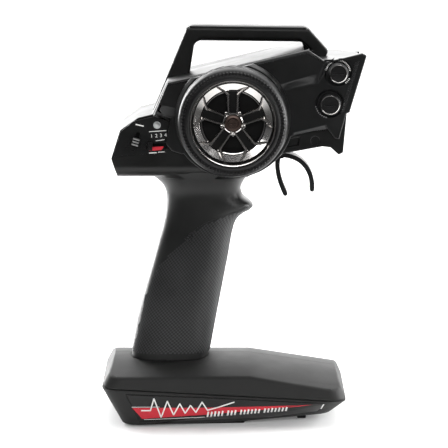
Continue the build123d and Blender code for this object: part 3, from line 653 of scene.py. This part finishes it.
NOSE_RECESSES = [[(26.8, 161.2), (27.2, 156.6), (34.6, 158.0), (35.4, 162.6)],
                 circle_points(44.1, 160.4, 2.6)]
TRIGGER_SLOT = [(9.8, 137.0), (37.2, 137.0), (37.2, 150.0), (9.8, 150.0)]
SLOT_HALF = 7.8
HEAD_FACE = 27.0                # distance of the head's side faces from the middle plane


def shell_edge_width(one, other):
    """Rounding of a head edge: outside edges only; where neck and head meet is only shaded smooth."""
    reach = max(abs(one.y), abs(other.y))
    height = (one.z + other.z) / 2
    x = (one.x + other.x) / 2
    past_slot = x < 5 or reach > SLOT_HALF + 0.2
    if height < 148 and -52 < x < 17 and past_slot:
        return None
    if reach > 24.7:
        return 0.5 if height > 147 else 0.9
    return 0.9 if height < 142 and reach > 24.0 else 0.0


def body_shell(side, cad_node):
    """Moulded half: the CAD head with rounded edges and recesses, joined to the smooth grip."""
    shell = copy_of(cad_node, cad_node + "_moulded")
    below = prism("below", [(-90, -5), (90, -5), (90, HEAD_LOW), (-90, HEAD_LOW)], -60, 60)
    boolean(shell, below, "DIFFERENCE")
    face = HEAD_FACE * side
    for outline in NOSE_RECESSES:
        boolean(shell, prism("recess", outline, face + 3 * side, face - 1.2 * side), "DIFFERENCE")
    merge_flats(shell)
    boolean(shell, grip_half(side), "UNION")
    boolean(shell, prism("slot", TRIGGER_SLOT, -SLOT_HALF, SLOT_HALF), "DIFFERENCE")
    round_edges(shell, shell_edge_width)
    return give(shell, CASE, "body_plastic", stands_for=[cad_node])


# ---------------------------------------------------------------- steering wheel
def wheel_tyre():
    """Tyre with a ribbed sidewall ring and a block tread."""
    crown = [(30.0, -54.6 + 1.26 * step) for step in range(11)]
    profile = [(23.6, -39.0), (23.6, -59.0), (24.0, -59.7), (24.8, -60.0), (25.5, -59.7), (26.0, -59.0),
               (26.6, -58.9), (26.9, -59.4), (27.9, -59.2), (28.2, -58.4), (28.9, -57.9), (29.5, -56.8),
               (29.9, -55.6)] + crown + [(29.8, -41.0), (29.2, -39.4), (27.6, -38.0)]
    first = profile.index(crown[0])

    def relief(index, step):
        if index in (7, 8):
            return (0.0, 0.0) if step % 4 < 2 else (0.0, 0.7)
        if first <= index < first + len(crown):
            row = index - first
            groove = (step + 2 * abs(row - 5)) % 12 < 3
            return (-0.8 if groove and 0 < row < 10 else 0.0, 0.0)
        return (0.0, 0.0)

    tyre = lathe("wheel_tyre_tread", profile, WHEEL_X, WHEEL_Z, 360, relief)
    tyre.data.set_sharp_from_angle(angle=math.radians(40))
    give(tyre, "steering_wheel", "tyre_rubber", stands_for=["wheel_tyre"])


def wheel_barrel():
    """Bright lip, black groove and silver flange, with a black back disc."""
    profile = [(23.6, -40.0), (23.6, -58.4), (23.75, -59.2), (23.5, -59.7), (23.1, -59.6), (22.8, -59.0),
               (22.5, -57.6), (22.0, -55.4), (21.8, -55.3), (21.6, -55.8), (18.1, -54.3), (17.9, -53.6),
               (17.6, -53.6), (17.5, -54.1), (17.1, -54.0), (16.9, -53.2), (17.0, -51.6), (20.6, -50.6),
               (20.6, -40.0)]
    painted = (5, 6, 7, 11, 14, 15, 16)
    bands = [1 if index in painted else 0 for index in range(len(profile))]
    barrel = lathe("wheel_barrel", profile, WHEEL_X, WHEEL_Z, 240, bands=bands)
    barrel.data.materials.append(MATERIALS["dark_chrome"])
    barrel.data.materials.append(MATERIALS["black_paint"])
    give(barrel, "steering_wheel", "dark_chrome", stands_for=["wheel_rim"])
    outline = [(3.0, -41.0), (20.8, -41.0), (20.8, -44.0), (17.0, -50.4), (5.5, -50.4), (5.0, -52.0),
               (3.0, -52.0)]
    disc = lathe("wheel_back_disc", outline, WHEEL_X, WHEEL_Z, 120)
    give(disc, "steering_wheel", "dark_chrome", MATERIALS["black_paint"])


def ridge(path, foot, crest, low, tops):
    """Bar with a narrow crest along a path of (across, along) points; tops is the crest's depths."""
    points = []
    for index, (across, along) in enumerate(path):
        before = Vector(path[max(0, index - 1)])
        after = Vector(path[min(len(path) - 1, index + 1)])
        here = Vector((across, along))
        inward = (here - before).normalized() if index else (after - here).normalized()
        outward = (after - here).normalized() if index < len(path) - 1 else inward
        normal = Vector((-(inward + outward).y, (inward + outward).x)).normalized()
        stretch = 1 / max(0.5, normal.dot(Vector((-inward.y, inward.x))))
        top = tops[index]
        for shift, depth in ((-foot, low), (-foot, top + 0.7), (-crest, top), (crest, top),
                             (foot, top + 0.7), (foot, low)):
            place = here + normal * shift * stretch
            points.append((place.x, depth, place.y))
    faces = [(0, 1, 2, 3, 4, 5), tuple(len(points) - 1 - step for step in range(6))]
    for index in range(len(path) - 1):
        for corner in range(6):
            low_corner = index * 6 + corner
            next_corner = index * 6 + (corner + 1) % 6
            faces.append((low_corner, next_corner, next_corner + 6, low_corner + 6))
    return points, faces


def place_on_wheel(points, degrees):
    """Turn points drawn about the hub, pointing up, to an angle on the wheel."""
    turn = math.radians(degrees - 90)
    turned = []
    for x, y, z in points:
        turned.append((WHEEL_X + x * math.cos(turn) - z * math.sin(turn), y,
                       WHEEL_Z + x * math.sin(turn) + z * math.cos(turn)))
    return turned


SPOKE_COUNT = 5
LUG_RADIUS = 6.6                # of the circle that the lugs stand on
# (across, along) outlines of one spoke, drawn from the hub upward
SPOKE_EDGE = [(2.3, 4.6), (2.6, 9.0), (2.7, 15.4), (5.2, 17.6), (9.0, 19.9)]
SPOKE_TOPS = (-57.2, -57.0, -56.6, -56.3, -55.9)
SPOKE_FLOOR = [(-2.4, 4.0), (2.4, 4.0), (2.6, 14.8), (2.2, 17.2), (-2.2, 17.2), (-2.6, 14.8)]


def wheel_spokes():
    """Five forked spokes, each a dark channel between two bright ridges."""
    ridges = []
    channels = []
    for number in range(SPOKE_COUNT):
        degrees = 90 + 360 / SPOKE_COUNT * number
        for side in (-1, 1):
            path = [(side * across, along) for across, along in SPOKE_EDGE]
            points, faces = ridge(path, 0.75, 0.3, -52.6, SPOKE_TOPS)
            ridges.append(solid_mesh("ridge", place_on_wheel(points, degrees), faces, 20))
        points = [(x, -54.9, z) for x, z in SPOKE_FLOOR] + [(x, -51.8, z) for x, z in SPOKE_FLOOR]
        faces = [(0, 1, 2, 3, 4, 5), (11, 10, 9, 8, 7, 6)]
        faces += [(i, (i + 1) % 6, (i + 1) % 6 + 6, i + 6) for i in range(6)]
        channels.append(solid_mesh("channel", place_on_wheel(points, degrees), faces, 20))
    give(join("wheel_spoke_ridges", ridges, 20), "steering_wheel", "dark_chrome")
    give(join("wheel_spoke_channels", channels, 20), "steering_wheel", "dark_chrome",
         MATERIALS["black_paint"])


def wheel_hub():
    """Collar, domed cap and five lugs."""
    collar = [(1.8, -52.0), (5.9, -52.0), (5.9, -55.4), (5.5, -56.4), (5.0, -56.7), (4.7, -56.3),
              (4.6, -55.5), (1.8, -55.5)]
    give(lathe("wheel_hub_collar", collar, WHEEL_X, WHEEL_Z, 96), "steering_wheel", "dark_chrome")
    cap = [(1.65, -56.0), (4.5, -56.0), (4.6, -56.9), (4.2, -57.5), (3.2, -57.75), (2.7, -57.5),
           (1.65, -57.5)]
    give(lathe("wheel_hub_cap_domed", cap, WHEEL_X, WHEEL_Z, 96), "steering_wheel", "cap_metal",
         stands_for=["wheel_hub_cap"])
    lugs = []
    for number in range(SPOKE_COUNT):
        angle = math.radians(54 + 360 / SPOKE_COUNT * number)
        x = WHEEL_X + LUG_RADIUS * math.cos(angle)
        z = WHEEL_Z + LUG_RADIUS * math.sin(angle)
        profile = [(0.0, -52.0), (0.95, -52.0), (0.95, -55.6), (0.7, -56.2), (0.0, -56.4)]
        lugs.append(lathe("lug", profile, x, z, 24))
    give(join("wheel_lugs", lugs), "steering_wheel", "dark_chrome")


# ---------------------------------------------------------------- knobs and front cover detail
def trim_knob(cad_node, centre, radius):
    """Knob with a knurled side, a bright chamfer and a coin slot, on its shaft."""
    low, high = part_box(cad_node)
    face = low.y / MM
    back = high.y / MM
    profile = [(0.0, back), (1.5, back), (1.5, -31.0), (radius - 0.3, -31.0), (radius, -31.4),
               (radius, face + 1.3), (radius - 0.8, face + 0.2), (radius - 1.1, face),
               (radius - 1.3, face + 0.3), (1.2, face + 0.5), (0.0, face + 0.5)]

    def relief(index, step):
        return (-0.3 if index in (4, 5) and step % 4 < 2 else 0.0, 0.0)

    bands = [1 if index == 6 else 0 for index in range(len(profile))]
    knob = lathe(cad_node + "_knurled", profile, centre.x, centre.z, 192, relief, bands)
    knob.data.materials.append(MATERIALS["knob_plastic"])
    knob.data.materials.append(MATERIALS["dark_chrome"])
    slot = bar_points(centre.x, centre.z, 1.1 * radius, 0.9, 0)
    boolean(knob, prism("slot", slot, face - 1, face + 1.1), "DIFFERENCE")
    tidy_mesh(knob)
    body = "steering_trim" if cad_node.startswith("steering") else "throttle_trim"
    give(knob, body, "knob_plastic", stands_for=[cad_node])


def bar_points(x, z, length, width, degrees):
    """Corners of a thin bar centred at (x, z), its length along the given direction."""
    along = Vector((math.cos(math.radians(degrees)), math.sin(math.radians(degrees))))
    side = Vector((-along.y, along.x))
    corners = []
    for a, b in ((-1, -1), (1, -1), (1, 1), (-1, 1)):
        place = Vector((x, z)) + along * a * length / 2 + side * b * width / 2
        corners.append((place.x, place.y))
    return corners


def printed(name, outline, face):
    """Thin printed shape on a flat face."""
    return prism(name, outline, face - PRINT_RISE, face + PRINT_SINK)


def scale_marks():
    """Printed scale round the upper knob and dots round the lower one."""
    ticks = []
    angles = [12 + 7.4 * step for step in range(22)] + [-28, -36, -44, -52]
    for degrees in angles:
        reach = 6.75 if degrees > 0 else 7.1
        x = UPPER.x + reach * math.cos(math.radians(degrees))
        z = UPPER.z + reach * math.sin(math.radians(degrees))
        tick = bar_points(x, z, 0.85, 0.36, degrees)
        ticks.append(printed("tick", tick, COVER_FACE))
    give(join("trim_scale_ticks", ticks), CASE, "cover_plastic", MATERIALS["print_white"])
    dots = []
    for degrees in [192 + 9 * step for step in range(8)] + [-24, -15, -6, 3]:
        x = LOWER.x + 7.9 * math.cos(math.radians(degrees))
        z = LOWER.z + 7.9 * math.sin(math.radians(degrees))
        dots.append(printed("dot", circle_points(x, z, 0.34, 12), COVER_FACE))
    give(join("trim_scale_dots", dots), CASE, "cover_plastic", MATERIALS["print_grey"])


RIB_COUNT = 34
RIBS_TOP = (67.0, 205.0)
RIBS_FOOT = (58.9, 177.5)


def nose_ribs():
    """Column of fine ribs beside the front edge of the wheel-side cover."""
    ribs = []
    for number in range(RIB_COUNT):
        share = number / (RIB_COUNT - 1)
        x = RIBS_TOP[0] + (RIBS_FOOT[0] - RIBS_TOP[0]) * share
        z = RIBS_TOP[1] + (RIBS_FOOT[1] - RIBS_TOP[1]) * share
        rib = bar_points(x, z, 2.4, 0.5, 20)
        ribs.append(prism("rib", rib, COVER_FACE - 0.22, COVER_FACE + 0.1, 0.12))
    give(join("nose_ribs", ribs), CASE, "cover_plastic")


# ---------------------------------------------------------------- control panel detail
def switch_cap(cad_node, body, material, tilt, ridges, width, ridge_length, pitch, height):
    """Gripping ridges on top of a slider's cap."""
    middle = centre_of(cad_node)
    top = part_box(cad_node)[0].y / MM
    lean = math.radians(tilt)
    made = []
    for number in range(ridges):
        offset = (number - (ridges - 1) / 2) * pitch
        shift = Vector((math.sin(lean), math.cos(lean))) * offset
        outline = bar_points(middle.x + shift.x, middle.z + shift.y, ridge_length, width, -tilt)
        made.append(prism("ridge", outline, top - height, top + 0.3, 0.12))
    give(join(cad_node + "_ridges", made), body, "knob_plastic", material)


def text_mesh(name, words, x, z, size, degrees, y):
    """Raised print of plain numerals."""
    curve = bpy.data.curves.new(name, "FONT")
    curve.body = words
    curve.size = size * MM
    curve.extrude = PRINT_RISE * MM
    curve.align_x = "CENTER"
    curve.space_character = 1.15
    written = add_object(name, curve)
    written.location = (x * MM, y * MM, z * MM)
    written.rotation_euler = (math.radians(90), math.radians(-degrees), 0)
    bpy.context.view_layer.update()
    graph = bpy.context.evaluated_depsgraph_get()
    mesh = bpy.data.meshes.new_from_object(written.evaluated_get(graph))
    mesh.transform(written.matrix_world)
    bpy.data.objects.remove(written)
    mesh.name = name
    made = add_object(name, mesh)
    tidy_mesh(made)
    made.data.materials.clear()
    return made


def panel_print():
    """Marks on the control panel: lines, the numerals of the four rates and a plain red tag."""
    marks = [bar_points(-53.6, 169.4, 4.6, 0.6, -13), bar_points(-43.6, 166.1, 9.6, 0.4, 4),
             bar_points(-42.2, 161.0, 5.0, 0.3, 8), bar_points(-46.4, 153.9, 4.2, 0.5, 3),
             bar_points(-41.6, 154.4, 3.6, 0.3, 3)]
    prints = [printed("mark", outline, PANEL_FACE) for outline in marks]
    prints.append(text_mesh("numerals", "1 2 3 4", -43.0, 162.7, 2.8, 4, PANEL_FACE - 0.02))
    give(join("panel_marks", prints), CASE, "panel_plastic", MATERIALS["print_white"])
    tag = [(-48.2, 155.0), (-41.4, 155.5), (-40.2, 157.6), (-47.0, 157.1)]
    give(printed("panel_red_tag", tag, PANEL_FACE), CASE, "panel_plastic", MATERIALS["print_red"])


def lamp_bezel():
    """Pale ring round the lamp."""
    lamp = centre_of("power_led")
    ring = [(1.5, PANEL_FACE + 0.2), (1.5, PANEL_FACE - 0.35), (1.7, PANEL_FACE - 0.5),
            (2.0, PANEL_FACE - 0.35), (2.1, PANEL_FACE + 0.2)]
    give(lathe("lamp_bezel", ring, lamp.x, lamp.z, 48), CASE, "lens")


# ---------------------------------------------------------------- base label
def decal(name, outline, tree, side, lift):
    """Thin printed shape laid on the base's side face, standing lift millimetres above it."""
    work = bmesh.new()
    corners = [work.verts.new((x * MM, 0, z * MM)) for x, z in outline]
    work.faces.new(corners)
    bmesh.ops.triangulate(work, faces=work.faces[:])
    bmesh.ops.subdivide_edges(work, edges=work.edges[:], cuts=5, use_grid_fill=True)
    for vertex in work.verts:
        hit = tree.ray_cast(Vector((vertex.co.x, side * 0.08, vertex.co.z)), Vector((0, -side, 0)))
        if hit[0] is None:
            raise RuntimeError(f"{name} reaches past the label plate at {vertex.co / MM}")
        vertex.co = hit[0] + hit[1] * lift * MM
    mesh = bpy.data.meshes.new(name)
    work.to_mesh(mesh)
    work.free()
    made = add_object(name, mesh)
    if mesh.polygons[0].normal.y * side < 0:
        mesh.flip_normals()
    thick = made.modifiers.new("thickness", "SOLIDIFY")
    thick.thickness = LABEL_THICKNESS * MM
    thick.offset = -1
    bake_modifiers(made)
    tidy_mesh(made)
    return made


RED_BAND = [(-58.2, 11.1), (-52.6, 4.6), (-18.0, 7.1), (8.0, 9.5), (36.0, 11.9), (43.0, 12.9),
            (8.0, 11.8), (-20.0, 11.2)]
# generic pulse line across the red band
PULSE = [(-53.0, 9.5), (-48.0, 9.5), (-46.0, 16.5), (-42.0, 5.5), (-38.5, 15.0), (-35.0, 7.0),
         (-31.5, 13.5), (-28.5, 8.0), (-25.5, 12.6), (-22.5, 8.5), (-19.0, 14.5), (-16.0, 9.8),
         (-10.0, 11.5), (-1.0, 14.5)]
PINSTRIPES = [[(-58.4, 11.5), (-43.0, 11.6)], [(-51.6, 4.2), (-17.4, 5.7)]]
TICK = [(48.0, 9.0), (49.2, 12.8)]
# rows of plain blocks: how many in each, and where the first one starts
BLOCK_GROUPS = (5, 3, 6, 7)
BLOCK_PITCH = 2.02
BLOCK_START = (-16.0, 6.0)
BLOCK_RISE = 0.062              # height gained per millimetre forward
GROUP_GAP = 0.6                 # in pitches
BAND_LIFT, STROKE_LIFT = 0.03, 0.07


def stroke(name, path, width, tree, side):
    """Printed line of even width along a path."""
    pieces = []
    for start, end in zip(path, path[1:]):
        line = Vector(end) - Vector(start)
        middle = (Vector(start) + Vector(end)) / 2
        lean = math.degrees(math.atan2(line.y, line.x))
        outline = bar_points(middle.x, middle.y, line.length + width / 2, width, lean)
        pieces.append(decal(name, outline, tree, side, STROKE_LIFT))
    return pieces


def base_label(side, cad_node):
    """Red wedge, pinstripes, a pulse line and a row of plain blocks on one side of the base."""
    work = bmesh.new()
    for name in (cad_node, "base_bottom_tray"):
        work.from_mesh(NODES[name].data)
    tree = BVHTree.FromBMesh(work)
    work.free()
    hand = "right" if side < 0 else "left"
    band = decal("label_red_band_" + hand, RED_BAND, tree, side, BAND_LIFT)
    give(band, CASE, "label_print", MATERIALS["print_red"])
    whites = stroke("pulse", PULSE, 0.7, tree, side)
    for path in PINSTRIPES:
        whites += stroke("pinstripe", path, 0.25, tree, side)
    whites += stroke("tick", TICK, 0.7, tree, side)
    place = 0
    for length in BLOCK_GROUPS:
        for number in range(length):
            x = BLOCK_START[0] + BLOCK_PITCH * place
            z = BLOCK_START[1] + BLOCK_RISE * (x - BLOCK_START[0])
            height = 2.5 if number % 2 else 2.7
            whites += stroke("block", [(x, z), (x + 0.5, z + height)], 0.95, tree, side)
            place += 1
        place += GROUP_GAP
    give(join("label_white_marks_" + hand, whites), CASE, "label_print", MATERIALS["print_white"])


# ---------------------------------------------------------------- everything together
# CAD nodes that stay, and the width of their rounded edges
SOFTENED = {
    "nose_cap": 0.5, "control_panel": 0.25, "battery_door": 0.3, "rubber_feet": 0.3,
    "label_plate_right": 0.0, "label_plate_left": 0.0, "case_screws": 0.15, "base_screws": 0.15,
    "handle_screws": 0.1, "wheel_screw": 0.12, "wheel_shaft": 0.2, "wheel_bush": 0.2,
    "wheel_dish": 0.35, "steering_pot_body": 0.4, "steering_centring_arm": 0.3,
    "steering_spring": 0.0, "trigger": 0.7, "trigger_pin": 0.2, "trigger_bracket": 0.4,
    "trigger_sector_gear": 0.0, "throttle_pinion": 0.0, "throttle_pot_body": 0.4,
    "trigger_spring": 0.0, "steering_trim_pot": 0.4, "throttle_trim_pot": 0.4,
    "power_switch_slider": 0.25, "power_switch_body": 0.2, "rate_selector_slider": 0.25,
    "rate_selector_body": 0.2, "power_led": 0.0, "main_circuit_board": 0.1, "radio_module": 0.3,
    "internal_antenna": 0.1, "battery_cells": 0.4, "battery_contacts": 0.1,
    "battery_lead_red": 0.0, "battery_lead_black": 0.0,
}


def dress_cad_nodes():
    """Material of the record's slot and rounded edges on every CAD node that stays."""
    slots = {part["node"]: part["material_slot"] for part in frame["record"]["subparts"]}
    for name, shown in NODES.items():
        shown.data.materials.clear()
        shown.data.materials.append(MATERIALS[slots[name]])
    for name, width in SOFTENED.items():
        soften_node(name, width)


def near_middle(limit, fine, wide):
    """Edge widths: fine within a distance of the middle plane, wide outside it."""
    return lambda one, other: fine if max(abs(one.y), abs(other.y)) < limit else wide


# a head cover's long top edge (its rear end, its rise per millimetre forward and its front end) and
# the steep edge behind it (its foot and how far it leans forward per millimetre of height)
COVER_TOP = (-38.0, 193.4)
COVER_TOP_RISE = 0.233
COVER_TOP_END = 40.2
COVER_BACK = (-46.0, 174.6)
COVER_BACK_LEAN = 0.426
EDGE_BAND = 0.6                 # points this near to the edge belong to it


def on_cover_top(point):
    """True on the long sloped top edge of a head cover and on the steep one behind it."""
    top = COVER_TOP[1] + COVER_TOP_RISE * (point.x - COVER_TOP[0]) - EDGE_BAND
    back = COVER_BACK[0] + COVER_BACK_LEAN * (point.z - COVER_BACK[1]) + EDGE_BAND
    return point.z > top and point.x < COVER_TOP_END or point.x < back


def cover_edge_width(one, other):
    """Rounding of a head cover: widest along its top, narrower round its other outer edges."""
    if min(abs(one.y), abs(other.y)) < 29.9:
        return 0.15
    return 1.7 if on_cover_top(one) and on_cover_top(other) else 0.7


def reworked(cad_node, slot, width_of):
    """CAD shape with rounded edges."""
    piece = copy_of(cad_node, cad_node + "_moulded")
    merge_flats(piece)
    round_edges(piece, width_of)
    give(piece, CASE, slot, stands_for=[cad_node])


def main():
    make_camera()
    make_studio()
    dress_cad_nodes()
    for side, hand in ((-1, "right"), (1, "left")):
        body_shell(side, hand + "_body_shell")
        grip_rubber(side, "grip_rubber_dotted_" + hand, "grip_rubber_" + hand)
        reworked("base_top_" + hand, "base_plastic", near_middle(18.5, fine=0.25, wide=1.4))
        reworked(hand + "_head_cover", "cover_plastic", cover_edge_width)
        base_label(side, "label_plate_" + hand)
    reworked("carry_handle", "body_plastic", near_middle(0.2, fine=0.25, wide=1.3))
    reworked("base_bottom_tray", "base_plastic", near_middle(0.2, fine=0.25, wide=0.8))
    wheel_tyre()
    wheel_barrel()
    wheel_spokes()
    wheel_hub()
    trim_knob("steering_trim_knob", UPPER, 5.7)
    trim_knob("throttle_trim_knob", LOWER, 6.0)
    scale_marks()
    nose_ribs()
    switch_cap("power_switch_slider", "power_switch", MATERIALS["print_grey"], tilt=17, ridges=3,
               width=0.75, ridge_length=3.6, pitch=1.6, height=0.5)
    switch_cap("rate_selector_slider", "rate_selector", MATERIALS["knob_plastic"], tilt=90, ridges=2,
               width=0.5, ridge_length=3.6, pitch=1.0, height=0.4)
    panel_print()
    lamp_bezel()


main()
